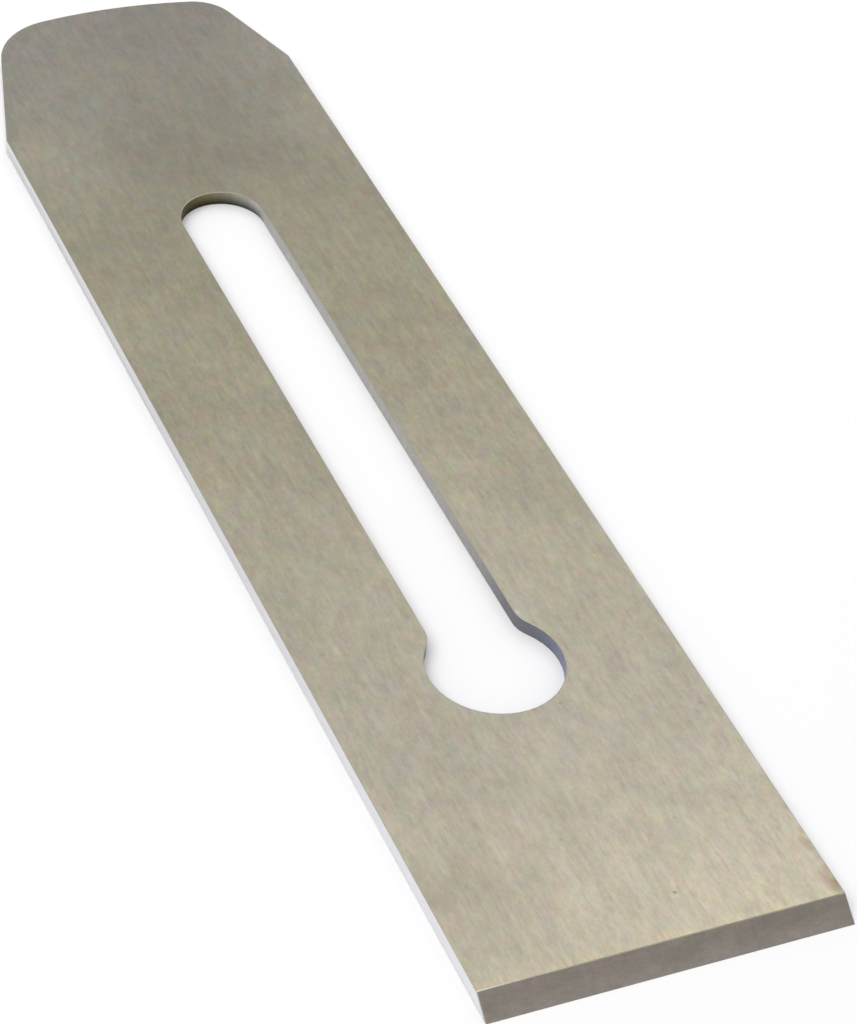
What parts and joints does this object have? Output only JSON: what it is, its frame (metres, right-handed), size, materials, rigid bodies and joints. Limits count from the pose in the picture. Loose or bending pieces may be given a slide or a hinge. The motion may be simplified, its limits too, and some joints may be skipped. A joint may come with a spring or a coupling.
{
  "type": "plane iron",
  "caption": "Flat steel cutting iron for a metal bench plane: single ground bevel, long slot ending in a keyhole, sloping shoulders and a crowned top end.",
  "frame": {"origin": "middle of the blade's length and width, on its flat back", "axes": "+Z out of the flat back, through the plate to the bevelled side; +Y along the blade to its crowned top end, the cutting edge being at -Y; +X across the blade"},
  "size_m": [0.0444, 0.1905, 0.002],
  "materials": {
    "steel": "ground, grain along the blade"
  },
  "bodies": {
    "root": {"plane_iron": "steel"}
  },
  "joints": []
}
